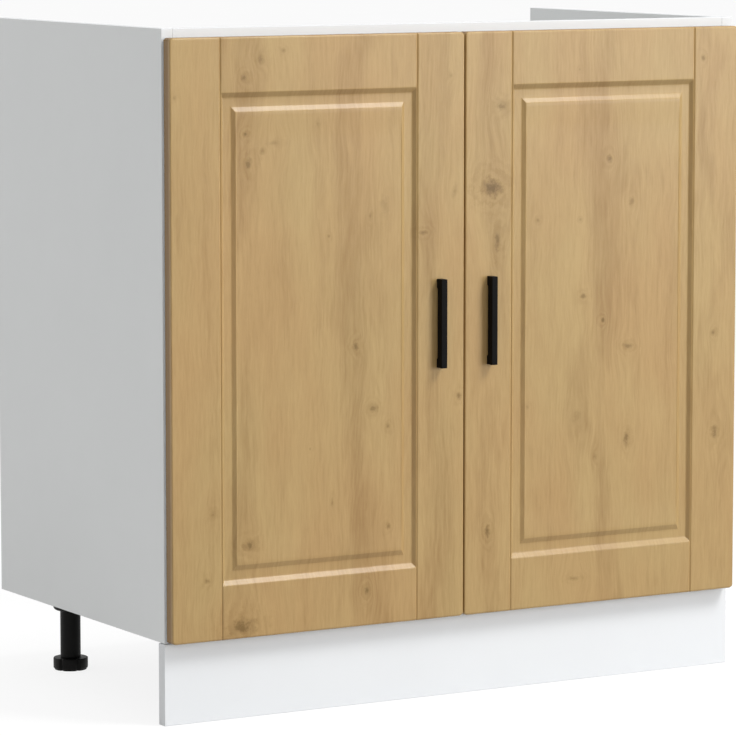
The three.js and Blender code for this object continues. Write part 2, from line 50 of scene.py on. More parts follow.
camera_place = (-2.62882, -4.48288, 0.98767)
turned_right, tipped_down = math.radians(30.354), math.radians(6.69)

lens = bpy.data.cameras.new("long_lens")
lens.sensor_width = 36
lens.lens = 204.66
lens.clip_end = 200
camera = bpy.data.objects.new("camera", lens)
camera.location = camera_place
camera.rotation_euler = (math.pi / 2 - tipped_down, 0, -turned_right)
bpy.context.collection.objects.link(camera)
bpy.context.scene.camera = camera
bpy.context.scene.view_settings.view_transform = "Standard"

# ---- Studio ------------------------------------------------------------------------------------
# A pale floor and three soft boxes, a high and a low one on the right and one behind on the left, in a
# room that gives an even fill. Seen straight or in a reflection the room is white, and the floor nearly.

room_fill = 0.60
floor_fill = 0.46
floor_glow = 0.85
floor_white = 0.18
aimed_at = (0, -0.15, 0.42)
soft_boxes = [
    {"name": "high_box", "place": (2.7, -3.35, 5.4), "size": 2.2, "power": 275},
    {"name": "low_box", "place": (5.8, -7.05, 1.3), "size": 4.0, "power": 318},
    {"name": "side_box", "place": (-3.0, 1.9, 0.6), "size": 1.4, "power": 13},
]


def add_node(tree, kind, *inputs, **settings):
    """Adds a shader node. Settings are set by name. Inputs are given in the node's own order: an output
    of another node is linked, a number or a tuple is set, and None leaves the input as it is."""
    node = tree.nodes.new("ShaderNode" + kind)
    for name, value in settings.items():
        setattr(node, name, value)
    for socket, value in zip(node.inputs, inputs):
        if isinstance(value, bpy.types.NodeSocket):
            tree.links.new(value, socket)
        elif value is not None:
            socket.default_value = value
    return node


def math_node(tree, operation, *inputs, clamp=False):
    """The output of a Math node: the operation's result on its inputs."""
    return add_node(tree, "Math", *inputs, operation=operation, use_clamp=clamp).outputs[0]


def seen_directly(tree):
    """1 where a ray comes from the camera, from a glossy surface or through a clear one, and else 0."""
    path = add_node(tree, "LightPath").outputs
    either = math_node(tree, "MAXIMUM", path["Is Camera Ray"], path["Is Glossy Ray"])
    return math_node(tree, "MAXIMUM", either, path["Is Transmission Ray"])


world = bpy.data.worlds.new("studio")
bpy.context.scene.world = world
world.use_nodes = True
sky = world.node_tree
sky.nodes.clear()
white_room = add_node(sky, "Background", (1, 1, 1, 1), 1.0)
filling_room = add_node(sky, "Background", (1, 1, 1, 1), room_fill)
room = add_node(sky, "MixShader", seen_directly(sky), filling_room.outputs[0], white_room.outputs[0])
add_node(sky, "OutputWorld", room.outputs[0])

floor_material = bpy.data.materials.new("pale_floor")
floor_material.use_nodes = True
tree = floor_material.node_tree
tree.nodes.clear()
grain = add_node(tree, "TexNoise", add_node(tree, "TexCoord").outputs["Object"], None, 3.0, 2.0)
tone = add_node(tree, "MapRange", grain.outputs[0], 0.3, 0.7, floor_white * 0.98, floor_white * 1.02)
painted = add_node(tree, "BsdfDiffuse", tone.outputs[0])
glow = add_node(tree, "Emission", (1, 1, 1, 1), floor_glow)
shown = add_node(tree, "AddShader", painted.outputs[0], glow.outputs[0])
filling_floor = add_node(tree, "BsdfDiffuse", (floor_fill, floor_fill, floor_fill, 1))
mixed = add_node(tree, "MixShader", seen_directly(tree), filling_floor.outputs[0], shown.outputs[0])
add_node(tree, "OutputMaterial", mixed.outputs[0])

reach = 60
floor_mesh = bpy.data.meshes.new("floor")
floor_mesh.from_pydata([(-reach, -reach, 0), (reach, -reach, 0), (reach, reach, 0), (-reach, reach, 0)],
                       [], [(0, 1, 2, 3)])
floor_mesh.materials.append(floor_material)
floor = bpy.data.objects.new("floor", floor_mesh)
bpy.context.collection.objects.link(floor)

for soft_box in soft_boxes:
    lamp = bpy.data.lights.new(soft_box["name"], "AREA")
    lamp.shape = "SQUARE"
    lamp.size = soft_box["size"]
    lamp.energy = soft_box["power"]
    light = bpy.data.objects.new(soft_box["name"], lamp)
    light.location = soft_box["place"]
    aim = np.subtract(aimed_at, soft_box["place"])
    light.rotation_euler = (math.pi / 2 + math.atan2(aim[2], math.hypot(aim[0], aim[1])), 0,
                            math.atan2(-aim[0], aim[1]))
    light.visible_camera = False
    bpy.context.collection.objects.link(light)

# ---- Carcass boards ----------------------------------------------------------------------------
# Two sides, a bottom, a rail across the top at the front and a lower one at the back, of 15 mm white
# melamine board. The cut edges are closed by a white band, whose corners are eased with a scraper.

MM = 0.001
board_ease = 0.7
cam_pocket = {"across": 15.6, "deep": 12.6}
round_turn = np.radians(np.arange(0, 360, 7.5))
face_white = (0.82, 0.834, 0.83)
# The second white, for the front rail's face and every edge band, is the boards' white painted a little
# darker: painted shade that holds down the stronger lamp light on these faces.
front_white_painted_darker = (0.77, 0.785, 0.795)


def eased_bar(low, high, ease, along, steps=4):
    """Rings of a bar whose edges are all rounded. The section is a rectangle whose corners are quarter
    circles, carried along one axis. At each end the ring has moved by ease * (1 - cos t) when its corner
    radius is ease * sin t, so that the end edges are quarter circles too."""
    low, high = np.asarray(low, float), np.asarray(high, float)
    a, b = (along + 1) % 3, (along + 2) % 3
    turn = np.radians(np.arange(4)[:, None] * 90 + np.linspace(0, 90, steps + 1)).ravel()
    corner = np.repeat([[1, 1], [0, 1], [0, 0], [1, 0]], steps + 1, axis=0)
    centre = np.where(corner, high[[a, b]] - ease, low[[a, b]] + ease)
    quarter = np.radians(np.linspace(2, 90, steps + 1))
    advance, radius = ease * (1 - np.cos(quarter)), ease * np.sin(quarter)
    place = np.concatenate([low[along] + advance, high[along] - advance[::-1]])
    radius = np.concatenate([radius, radius[::-1]])[:, None]
    rings = np.empty((len(place), len(turn), 3))
    rings[..., a] = centre[:, 0] + radius * np.cos(turn)
    rings[..., b] = centre[:, 1] + radius * np.sin(turn)
    rings[..., along] = place[:, None]
    return rings


def skin(rings):
    """Points and faces of the closed surface over rings of points, shaped (rings, points, 3). Each point
    is joined to the next on its ring and to its twin on the next ring, and each end ring is one face."""
    count, around, _ = rings.shape
    index = np.arange(count * around).reshape(count, around)
    here, there = index[:-1], index[1:]
    sides = np.stack([here, np.roll(here, -1, 1), np.roll(there, -1, 1), there], -1).reshape(-1, 4)
    return rings.reshape(-1, 3), sides.tolist() + [index[0, ::-1].tolist(), index[-1].tolist()]


def shaded_smooth(mesh, crease):
    """Shades a mesh smooth wherever two faces meet at less than crease degrees."""
    mesh.polygons.foreach_set("use_smooth", np.ones(len(mesh.polygons), bool))
    mesh.set_sharp_from_angle(angle=math.radians(crease))


def made(name, parts, materials, crease=35):
    """One mesh object from parts, each (points in millimetres, faces), shaded smooth up to a crease."""
    points, faces, start = [], [], 0
    for part_points, part_faces in parts:
        points.append(part_points)
        faces += [[start + corner for corner in face] for face in part_faces]
        start += len(part_points)
    mesh = bpy.data.meshes.new(name)
    mesh.from_pydata(np.concatenate(points) * MM, [], faces)
    for material in materials:
        mesh.materials.append(material)
    shaded_smooth(mesh, crease)
    piece = bpy.data.objects.new(name, mesh)
    bpy.context.collection.objects.link(piece)
    return piece


def fitted(piece, body, slot, *nodes):
    """Hangs a finished piece on its body, in the place of the CAD nodes that it stands for."""
    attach(piece, body)
    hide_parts(*nodes)


def new_finish(name, **sockets):
    """A material with its shader's own sockets set by name, as material, node tree and shader."""
    material = bpy.data.materials.new(name)
    material.use_nodes = True
    shader = material.node_tree.nodes["Principled BSDF"]
    for socket, value in sockets.items():
        shader.inputs[socket.replace("_", " ")].default_value = value
    return material, material.node_tree, shader


def object_noise(tree, scale, detail=2.0, stretch=(1, 1, 1), roughness=0.5):
    """Noise from 0 to 1 that stays on the object, with so many waves to the metre along each axis."""
    place = add_node(tree, "TexCoord").outputs["Object"]
    moved = add_node(tree, "Mapping", place, None, None, stretch).outputs[0]
    return add_node(tree, "TexNoise", moved, None, scale, detail, roughness).outputs[0]


def spread(tree, value, low, high, from_low=0.3, from_high=0.7):
    """A value spread evenly from low to high, and held there past its own range, which for most noises is
    about 0.3 to 0.7."""
    return add_node(tree, "MapRange", value, from_low, from_high, low, high).outputs[0]


def mixed_colour(tree, share, first, second):
    """The first colour turning into the second as share goes from 0 to 1."""
    node = add_node(tree, "Mix", data_type="RGBA")
    for socket, value in ((node.inputs[0], share), (node.inputs[6], first), (node.inputs[7], second)):
        if isinstance(value, bpy.types.NodeSocket):
            tree.links.new(value, socket)
        else:
            socket.default_value = value if socket is node.inputs[0] else (*value, 1)
    return node.outputs[2]


def raised(tree, shader, height, strength, distance):
    """Gives a shader a fine relief from a height in waves distance metres tall, felt at a strength."""
    node = add_node(tree, "Bump", strength, distance)
    tree.links.new(height, node.inputs["Height"])
    tree.links.new(node.outputs[0], shader.inputs["Normal"])


def white_melamine(name, white, peel):
    """Satin white paper foil: a fine orange peel, of so many waves to the metre, a faint cloudiness, and
    gloss that varies a little."""
    material, tree, shader = new_finish(name, Specular_IOR_Level=0.22)
    cloud = spread(tree, object_noise(tree, 9, 3), 0, 1)
    darker = tuple(0.985 * part for part in white)
    tree.links.new(mixed_colour(tree, cloud, darker, white), shader.inputs["Base Color"])
    gloss = spread(tree, object_noise(tree, 60, 3), 0.44, 0.54)
    tree.links.new(gloss, shader.inputs["Roughness"])
    raised(tree, shader, object_noise(tree, peel, 2), 0.12, 0.00015)
    return material


board_face = white_melamine("white_board_face", face_white, 900)
# The edge band and the front rail's face take the darker white, painted shade against their stronger light.
board_band = white_melamine("white_edge_band", front_white_painted_darker, 450)
board_front = white_melamine("white_front_face", front_white_painted_darker, 900)


def corners(node):
    """Lowest and highest corner of a CAD node, in millimetres."""
    low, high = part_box(node)
    return np.array(low) / MM, np.array(high) / MM


def round_rings(centre, axis, across, first, second):
    """Two circles of a diameter, square to an axis through a centre, at two distances along it."""
    a, b = (axis + 1) % 3, (axis + 2) % 3
    rings = np.empty((2, len(round_turn), 3))
    rings[..., a] = centre[a] + np.cos(round_turn) * across / 2
    rings[..., b] = centre[b] + np.sin(round_turn) * across / 2
    rings[..., axis] = centre[axis] + np.array([[first], [second]])
    return rings


def bored(piece, holes):
    """Drills round holes, each (centre, axis number, diameter, depth each way), out of a piece."""
    parts = [skin(round_rings(centre, axis, across, -deep, deep)) for centre, axis, across, deep in holes]
    drill = made("drill", parts, [])
    cut = piece.modifiers.new("holes", "BOOLEAN")
    cut.operation, cut.solver, cut.object = "DIFFERENCE", "EXACT", drill
    finished = bpy.data.meshes.new_from_object(
        piece.evaluated_get(bpy.context.evaluated_depsgraph_get()))
    piece.modifiers.clear()
    piece.data = finished
    bpy.data.objects.remove(drill)


def flats_kept_flat(piece):
    """Makes the shading at a rounded edge follow the largest face there, so that a flat face isn't shaded
    as if it bulged."""
    weighted = piece.modifiers.new("flats_kept_flat", "WEIGHTED_NORMAL")
    weighted.mode, weighted.keep_sharp = "FACE_AREA", True


def board(node, body, thin, along, holes=(), face=board_face):
    """A melamine board in a CAD node's place. Its two large faces, square to the thin axis, are foil, and
    everything round them is edge band."""
    low, high = corners(node)
    piece = made(node + "_board", [skin(eased_bar(low, high, board_ease, along))], [face, board_band])
    if holes:
        bored(piece, holes)
    normals = np.empty(len(piece.data.polygons) * 3)
    piece.data.polygons.foreach_get("normal", normals)
    edge = np.abs(normals.reshape(-1, 3)[:, thin]) < 0.5
    piece.data.polygons.foreach_set("material_index", edge.astype(int))
    flats_kept_flat(piece)
    fitted(piece, body, "white_board", node)


def cam_pockets(place, axis):
    """The round pockets under the cam locks at this place, one at each end of their board."""
    holes = []
    for side in ("left", "right"):
        low, high = corners(f"cam_lock_{place}_{side}")
        holes.append(((low + high) / 2, axis, cam_pocket["across"], cam_pocket["deep"] / 2))
    return holes


for side in ("left", "right"):
    board(f"side_panel_{side}", "carcass", thin=0, along=2)
board("bottom_panel", "carcass", thin=2, along=0,
      holes=cam_pockets("bottom_front", 2) + cam_pockets("bottom_rear", 2))
board("front_rail", "carcass", thin=1, along=0, holes=cam_pockets("front_rail", 1), face=board_front)
board("rear_rail", "carcass", thin=1, along=0, holes=cam_pockets("rear_rail", 1))

# ---- Cam locks, their bolts and the dowels -----------------------------------------------------
# Each board is drawn up to the sides by die-cast zinc cams, turned with a screwdriver, that pull on
# plated steel bolts. Fluted beech dowels keep the rails from turning.


def metal(name, colour, roughness, uneven, relief, dull):
    """Plated or cast metal. Its roughness varies by uneven to each side with a fine noise, which is also
    its relief, and its dullest spots are darker by the share dull."""
    material, tree, shader = new_finish(name, Metallic=1.0)
    spots = spread(tree, object_noise(tree, 100, 4), 0, 1)
    darker = tuple((1 - dull) * part for part in colour)
    tree.links.new(mixed_colour(tree, spots, darker, colour), shader.inputs["Base Color"])
    fine = object_noise(tree, 700, 3)
    tree.links.new(spread(tree, fine, roughness - uneven, roughness + uneven), shader.inputs["Roughness"])
    raised(tree, shader, fine, relief, 0.00003)
    return material


def repaint(prefix, material):
    """Gives every CAD node whose name starts with a prefix a finish of this file."""
    for name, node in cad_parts.items():
        if name.startswith(prefix):
            for place in node.material_slots:
                place.material = material


cast_zinc = metal("cast_zinc", (0.40, 0.41, 0.42), 0.46, uneven=0.07, relief=0.25, dull=0.25)
plated_zinc = metal("zinc_plate", (0.62, 0.64, 0.66), 0.34, uneven=0.05, relief=0.08, dull=0.12)
repaint("cam_lock_", cast_zinc)
repaint("cam_bolt_", plated_zinc)

beech, tree, shader = new_finish("beech", Roughness=0.7)
flecks = spread(tree, object_noise(tree, 900, 3, (0.05, 1, 1)), 0, 1)
tree.links.new(mixed_colour(tree, flecks, (0.52, 0.33, 0.17), (0.68, 0.48, 0.28)),
               shader.inputs["Base Color"])
repaint("dowel_", beech)

# ---- Doors -------------------------------------------------------------------------------------
# Each door is one slab of fibreboard, 16 mm thick. A router cuts V-grooves that stand for the joints of
# stiles and rails, and the moulding round the panel, and oak-look foil is drawn over it all by vacuum.

# Places are distances in from a door's side or end. The outline's corners have a radius, and the front
# edges have one at the sides and another at the ends. The moulding's places are the starts and ends of
# its two slopes, and the panel's field lies sunk behind the frame.
outline_round = 5
side_round, end_round = 1.6, 2.6
groove_places, groove_deep, groove_soft = (64.2, 65.8, 66.9), 1.35, 0.25
moulding_deep, field_sunk, fold_soft = 4.6, 1.2, 0.09
from_side_places = (66.4, 70.3, 81.6, 86.2)
from_end_places = (64.4, 70.2, 80.9, 87.4)
step_places, step_deep, step_soft = (86.4, 87.2), 0.45, 0.2
step_starts, step_full = 88, 118
bore = {"across": 35.6, "deep": 11.8, "from_cup_edge": 18.6}


def softened(distance, places, depths, soft):
    """A line through places and depths, read at a distance and averaged over soft to each side, which
    rounds its corners as foil does."""
    steps = np.linspace(-soft, soft, 9)
    return np.mean([np.interp(distance + step, places, depths) for step in steps], axis=0)


def through_moulding(distance, places):
    """How far across the moulding a distance is: 0 and 1 at the first slope's ends, 2 and 3 at the second
    slope's ends."""
    first, second = places[1] - places[0], places[3] - places[2]
    places = (places[0] - first, *places, places[3] + second)
    return np.interp(distance, places, (-1, 0, 1, 2, 3, 4))


def door_depth(from_side, from_end):
    """How far the door's face lies behind its front plane, from the distances to the nearest side and the
    nearest end. Round the outline it is a quarter circle. The moulding slopes down to its full depth and
    back up to the sunk field, and depends on the direction that is less far across it, so it is mitred.
    The V-groove, and a small step down inside the moulding that runs out towards the ends, depend on the
    distance to the side alone."""
    inset = np.minimum(from_side, from_end)
    quarters = [radius * (1 - np.sqrt(1 - np.clip(1 - distance / radius, 0, 1) ** 2))
                for distance, radius in ((from_side, side_round), (from_end, end_round))]
    edge = np.maximum(*quarters) + np.maximum(-inset, 0)
    across = np.minimum(through_moulding(from_side, from_side_places),
                        through_moulding(from_end, from_end_places))
    ring = softened(across, (0, 1, 2, 3), (0, moulding_deep, moulding_deep, field_sunk), fold_soft)
    v_groove = softened(from_side, groove_places, (0, groove_deep, 0), groove_soft) * (inset >= 0)
    along = np.clip((from_end - step_starts) / (step_full - step_starts), 0, 1)
    step = softened(from_side, step_places, (0, step_deep), step_soft) * along
    return edge + step + np.maximum(ring, v_groove)


def lines_across(size):
    """Where the grid's lines lie over a door's width or height: close together on the rounded edge and on
    the slopes, wide apart on the flats, and past the outline where the foil turns down the walls."""
    wall = np.array([-13.5, -9, -4.5])
    turning = end_round * (1 - np.cos(np.radians(np.linspace(0, 90, 9))))
    corner = np.array([3.8, 4.4, outline_round])
    frame_flat = np.arange(9, 61, 4)
    outer_slope, moulding_flat = np.arange(62.6, 71.2, 0.5), np.arange(72.5, 80, 2.5)
    inner_slope = np.arange(80.4, 88.4, 0.5)
    half = np.concatenate([wall, turning, corner, frame_flat, outer_slope, moulding_flat, inner_slope])
    middle = np.linspace(half[-1], size - half[-1], int((size - 2 * half[-1]) / 4))[1:-1]
    return np.concatenate([half, middle, size - half[::-1]])


def door_shell(low, high):
    """The foil-covered face and walls as a grid. Past the outline the distance is negative, and the point
    stays on the outline while its depth grows. Each corner's square of the grid is pressed into a quarter
    disc: a point keeps its direction from the disc's centre, and its larger distance becomes its radius.
    Also gives the places across and up on the foil before it is folded."""
    width, height = high[0] - low[0], high[2] - low[2]
    across, up = np.meshgrid(lines_across(width), lines_across(height))
    from_side, from_end = np.minimum(across, width - across), np.minimum(up, height - up)
    depth = door_depth(from_side, from_end)
    out_side, out_end = np.maximum(outline_round - from_side, 0), np.maximum(outline_round - from_end, 0)
    length = np.maximum(np.hypot(out_side, out_end), 1e-9)
    share = np.minimum(np.maximum(out_side, out_end), outline_round) / length
    side = np.where(out_side > 0, outline_round - out_side * share, from_side)
    end = np.where(out_end > 0, outline_round - out_end * share, from_end)
    x = np.where(across < width / 2, low[0] + side, high[0] - side)
    z = np.where(up < height / 2, low[2] + end, high[2] - end)
    points = np.stack([x, low[1] + depth, z], -1)
    return points, low[0] + across, low[2] + up


def mitred_faces(rows, columns):
    """Two triangles for each cell of a grid, split along the diagonal that the mitres follow: rising away
    from the middle in the lower left and upper right quarters, and falling in the other two."""
    index = np.arange(rows * columns).reshape(rows, columns)
    a, b, c, d = index[:-1, :-1], index[:-1, 1:], index[1:, 1:], index[1:, :-1]
    row, column = np.mgrid[:rows - 1, :columns - 1]
    rising = ((row < rows / 2) == (column < columns / 2))[..., None]
    first = np.where(rising, np.stack([a, b, c], -1), np.stack([a, b, d], -1))
    second = np.where(rising, np.stack([a, c, d], -1), np.stack([b, c, d], -1))
    return np.concatenate([first.reshape(-1, 3), second.reshape(-1, 3)])


# The figure of the wood, in millimetres from the cabinet's middle and the floor. A streak
# of darker heartwood has its strength, and then points of height, sideways place and half width. A knot
# has its sideways place and height, its half width and half height, and its darkness.
streaks = {
    "left": [
        (1.0, [(810, -129, 13), (774, -157, 12), (703, -166, 12), (626, -160, 12), (572, -154, 12),
               (513, -157, 16), (465, -157, 19), (429, -143, 12), (369, -143, 11), (322, -150, 8),
               (274, -150, 9), (238, -144, 12), (190, -146, 16), (142, -139, 18), (105, -121, 14)]),
        (0.7, [(830, -295, 15), (777, -289, 16), (742, -295, 19), (696, -297, 16), (660, -299, 17),
               (625, -304, 11), (579, -308, 4)]),
        (0.6, [(403, -304, 3), (344, -300, 6), (285, -299, 8), (238, -295, 12), (203, -295, 13),
               (156, -300, 14), (100, -307, 13)]),
        (0.7, [(830, -40, 10), (748, -39, 11), (687, -39, 10), (627, -43, 9), (567, -49, 8), (519, -51, 5)]),
        (0.7, [(387, -46, 7), (339, -46, 12), (278, -39, 13), (217, -34, 13), (158, -39, 12), (90, -43, 12)]),
    ],
    "right": [
        (0.8, [(794, 31, 7), (758, 36, 11), (709, 41, 13), (661, 35, 12), (612, 36, 11), (563, 44, 11),
               (533, 49, 4)]),
        (0.7, [(357, 36, 7), (309, 36, 8), (260, 35, 9), (212, 34, 11), (164, 34, 9), (100, 39, 8)]),
        (0.9, [(830, 205, 13), (766, 199, 13), (717, 193, 16), (668, 193, 17), (618, 199, 19),
               (569, 193, 12), (520, 196, 16), (458, 196, 14), (409, 199, 6)]),
        (0.8, [(434, 178, 6), (386, 172, 11), (337, 166, 13), (299, 181, 11), (273, 196, 8),
               (236, 205, 7), (187, 200, 8), (136, 214, 9), (90, 225, 8)]),
        (0.6, [(654, 228, 4), (629, 233, 14), (611, 225, 11), (599, 214, 4)]),
        (0.6, [(762, 370, 5), (700, 354, 9), (650, 350, 8), (574, 379, 12), (511, 379, 12),
               (462, 367, 9), (412, 357, 9), (350, 353, 5)]),
        (0.5, [(361, 368, 5), (298, 379, 9), (235, 373, 7), (174, 364, 7), (100, 367, 7)]),
    ],
}
knots = {
    "left": [(-279, 778, 5, 4, .6), (-301.5, 757, 3.2, 3, .85), (-248, 788, 3, 2, .5),
             (-392.6, 736, 2, 2, .4), (-299, 692, 2.2, 2.2, .95), (-202, 701, 2.5, 4, .4),
             (-277, 671, 2.2, 2.6, .7), (-260, 680, 7, 2, .35), (-295, 657, 3.2, 5.5, .85),
             (-344, 249, 3, 3, .65), (-353, 171, 3, 3, .65), (-295, 208.6, 6, 4, .95),
             (-305.5, 112, 13, 8, 1.0), (-136, 141, 3.2, 4, .95), (-151, 435, 3.2, 3.6, .9),
             (-126.5, 359.5, 4.4, 3.6, .8), (-106, 337, 2.6, 2.6, .65), (-106, 217, 3, 3, .6),
             (-183, 250, 1.6, 4.5, .45), (-213, 317, 1.6, 1.6, .5), (-187, 567.5, 1.6, 1.6, .5),
             (-131, 589, 1.6, 3, .55), (-58, 567, 4.4, 2.2, .75), (-7.7, 367.5, 3.2, 3.8, .8),
             (-20, 753, 2.2, 2.2, .35), (-15, 614, 3.2, 4.5, .35), (-111, 600, 5, 11, .3)],
    "right": [(51, 714, 6, 4, .8), (38, 617, 11, 8, 1.25), (46, 553, 3.4, 9, .9), (345, 766.5, 2.6, 3.6, .7),
              (209, 646, 3.2, 3.6, .8), (242, 593, 3.2, 3.6, .5), (163.6, 756, 1.6, 1.6, .45),
              (105, 575, 2.2, 2.2, .55), (166.5, 573, 1.6, 1.6, .55), (171, 479, 3.2, 2.8, .75),
              (200, 448, 2.2, 2.6, .95), (237, 414, 5.5, 2.8, .8), (236, 299, 3.6, 6.5, .85),
              (190, 280, 2.2, 3.2, .55), (162, 331, 7, 7, .3), (368, 298.5, 4.4, 6.5, .75),
              (363.5, 424, 2.6, 2.6, .65), (91, 347, 2.2, 2.2, .4), (159, 131, 7.5, 2.2, .5),
              (33.5, 199, 3.2, 5.5, .95)],
}


def heartwood(across, up, door):
    """How dark the heartwood is at each point: for each streak, a bell curve of the sideways distance to
    its middle line over its half width, with middle line and half width read at the point's height. The
    streak fades out over a short way past its ends, and the darkest streak counts."""
    shade, fading = np.zeros_like(across), 40
    for strength, line in streaks[door]:
        height, middle, half = np.array(line[::-1], float).T
        away = (across - np.interp(up, height, middle)) / (1.6 * np.interp(up, height, half) + 3)
        below, above = (up - height[0]) / fading, (height[-1] - up) / fading
        fade = np.clip(below + 1, 0, 1) * np.clip(above + 1, 0, 1)
        shade = np.maximum(shade, strength * np.exp(-away ** 2) * fade)
    return shade


def grain_push(across, up, door):
    """How far the grain is pushed aside round the knots: for each knot, the sideways distance times a bell
    curve that reaches further along the grain than across it."""
    push = np.zeros_like(across)
    for x, z, half_width, half_height, _ in knots[door]:
        reach_across, reach_along = 2.6 * half_width + 4, 5 * half_height + 14
        bell = np.exp(-((across - x) / reach_across) ** 2 - ((up - z) / reach_along) ** 2)
        push += 0.65 * (across - x) * bell
    return push


def nearest_knot(across, up, door):
    """For the three corners of each triangle, their places relative to the knot nearest to the triangle,
    in that knot's half widths and half heights, and the knot's darkness. They run evenly over the
    triangle, so a coarse grid still draws a sharp knot."""
    place = np.array(knots[door])
    right = (across.mean(1)[:, None] - place[:, 0]) / place[:, 2]
    above = (up.mean(1)[:, None] - place[:, 1]) / place[:, 3]
    x, z, half_width, half_height, dark = place[np.argmin(right ** 2 + above ** 2, axis=1)].T[:, :, None]
    return np.stack([(across - x) / half_width, (up - z) / half_height, dark + 0 * across], -1)


heart_strength = 0.30
straw, tan = (0.457, 0.312, 0.129), (0.462, 0.298, 0.122)
dark_share = (0.52, 0.42, 0.29)
halo_brown, knot_brown = (0.270, 0.160, 0.045), (0.120, 0.062, 0.008)
# The brown of the painted shade on the doors' outer walls.
painted_wall_shade_brown = (0.205, 0.104, 0.014)


def oak_foil():
    """Printed knotty oak. Places across and along the grain come from the grain map, which bends round the
    knots, with a slow sway added, so that no line is quite straight. Growth lines are even steps of a long
    soft noise, clearest in the heartwood and round the knots. They, fine streaks, bands, clouds, pores and
    the heartwood add up to one shade that darkens the pale sapwood, which drifts from straw to tan. A knot
    is a dark core in a ringed brown halo. The door's outer walls carry painted shade: where the attribute
    that holds the heartwood and the walls' shade nears 2, they are darker and brown."""
    material, tree, shader = new_finish("oak_foil", Specular_IOR_Level=0.17, Coat_Weight=0.34,
                                         Coat_Roughness=0.22)
    # The grain map and its sway.
    straight = add_node(tree, "UVMap", uv_map="grain").outputs[0]
    slow = add_node(tree, "Mapping", straight, None, None, (9, 11, 1)).outputs[0]
    sway = spread(tree, add_node(tree, "TexNoise", slow, None, 1.0, 3.0).outputs[0], -0.0025, 0.0025)
    sideways = add_node(tree, "CombineXYZ", sway).outputs[0]
    grain = add_node(tree, "VectorMath", straight, sideways, operation="ADD").outputs[0]

    def lines(across, along, detail=3.0, roughness=0.55):
        """Noise with so many waves to the metre across and along the grain."""
        moved = add_node(tree, "Mapping", grain, None, None, (across, along, 1)).outputs[0]
        return add_node(tree, "TexNoise", moved, None, 1.0, detail, roughness).outputs[0]

    fine = lines(1500, 65, 2)
    streak = lines(300, 20, 4, 0.6)
    band = lines(42, 3.0, 4, 0.6)
    cloud = lines(16, 7, 3)
    drift = lines(8, 3.4, 2)
    year = lines(17, 1.5, 1.5)
    pore = spread(tree, lines(2200, 120, 1), 0, 1, 0.60, 0.75)
    patchy = lines(30, 9, 2)

    # How far the nearest knot is, in its own radii, with a ragged outline, and its pull on the lines.
    knot = add_node(tree, "SeparateXYZ", add_node(tree, "Attribute", attribute_name="knot").outputs["Vector"])
    ragged = math_node(tree, "ADD", spread(tree, object_noise(tree, 130, 3), -0.55, 0.55),
                       spread(tree, object_noise(tree, 600, 2), -0.2, 0.2))
    squares = math_node(tree, "ADD", math_node(tree, "MULTIPLY", knot.outputs[0], knot.outputs[0]),
                        math_node(tree, "MULTIPLY", knot.outputs[1], knot.outputs[1]))
    radius = math_node(tree, "ADD", math_node(tree, "SQRT", squares), ragged)
    swirl = math_node(tree, "MULTIPLY", spread(tree, radius, 1, 0, 0.8, 4.8), knot.outputs[2])

    # Heartwood with an uneven edge, growth lines, and pores in patches. On the door's walls the same
    # attribute carries painted shade, which darkens them here too.
    heart_and_painted_wall_shade = add_node(tree, "Attribute", attribute_name="heart_and_painted_wall_shade").outputs["Fac"]
    edge = math_node(tree, "ADD", spread(tree, band, -0.42, 0.42), spread(tree, streak, -0.16, 0.16))
    wavy_heart_and_painted_wall_shade = math_node(tree, "ADD", heart_and_painted_wall_shade, edge)
    dark_heart_and_painted_wall_shade = spread(tree, wavy_heart_and_painted_wall_shade, 0, 1, 0.12, 1.05)
    year = math_node(tree, "MULTIPLY_ADD", streak, 0.02, year)
    year = math_node(tree, "MULTIPLY_ADD", swirl, 0.08, year)
    growth = math_node(tree, "SINE", math_node(tree, "MULTIPLY", year, 150.0))
    clear = math_node(tree, "MULTIPLY_ADD", swirl, 2.2, spread(tree, wavy_heart_and_painted_wall_shade, 0.3, 1.2, 0, 0.8))
    growth = math_node(tree, "MULTIPLY", growth, clear)
    pore = math_node(tree, "MULTIPLY", pore, spread(tree, patchy, 0.25, 1))

    # Everything but the knots adds up to one shade.
    shade = math_node(tree, "MULTIPLY", dark_heart_and_painted_wall_shade, heart_strength)
    for value, strength in ((spread(tree, fine, -1, 1), 0.07), (spread(tree, streak, -1, 1), 0.11),
                            (spread(tree, band, -1, 1), 0.06), (spread(tree, cloud, -1, 1), 0.07),
                            (growth, 0.04), (pore, 0.15)):
        shade = math_node(tree, "MULTIPLY_ADD", value, strength, shade)
    shade = math_node(tree, "ADD", shade, 0.14, clamp=True)

    straw_wood, tan_wood = [mixed_colour(tree, shade, pale, tuple(np.multiply(pale, dark_share)))
                            for pale in (straw, tan)]
    wood = mixed_colour(tree, spread(tree, drift, 0, 1, 0.38, 0.62), straw_wood, tan_wood)

    # The knots' halos with their rings, the painted shade that turns the walls brown, and the knots' cores
    # lie over it.
    core = math_node(tree, "MULTIPLY", spread(tree, radius, 1, 0, 0.2, 1.5), knot.outputs[2])
    halo = math_node(tree, "MULTIPLY", spread(tree, radius, 1, 0, 0.6, 3.8), knot.outputs[2])
    rings = math_node(tree, "SINE", math_node(tree, "MULTIPLY", radius, 5.5))
    rings = math_node(tree, "MULTIPLY", rings, halo)
    around = math_node(tree, "MULTIPLY_ADD", rings, 0.10, math_node(tree, "MULTIPLY", halo, 0.26), clamp=True)
    wood = mixed_colour(tree, around, wood, halo_brown)
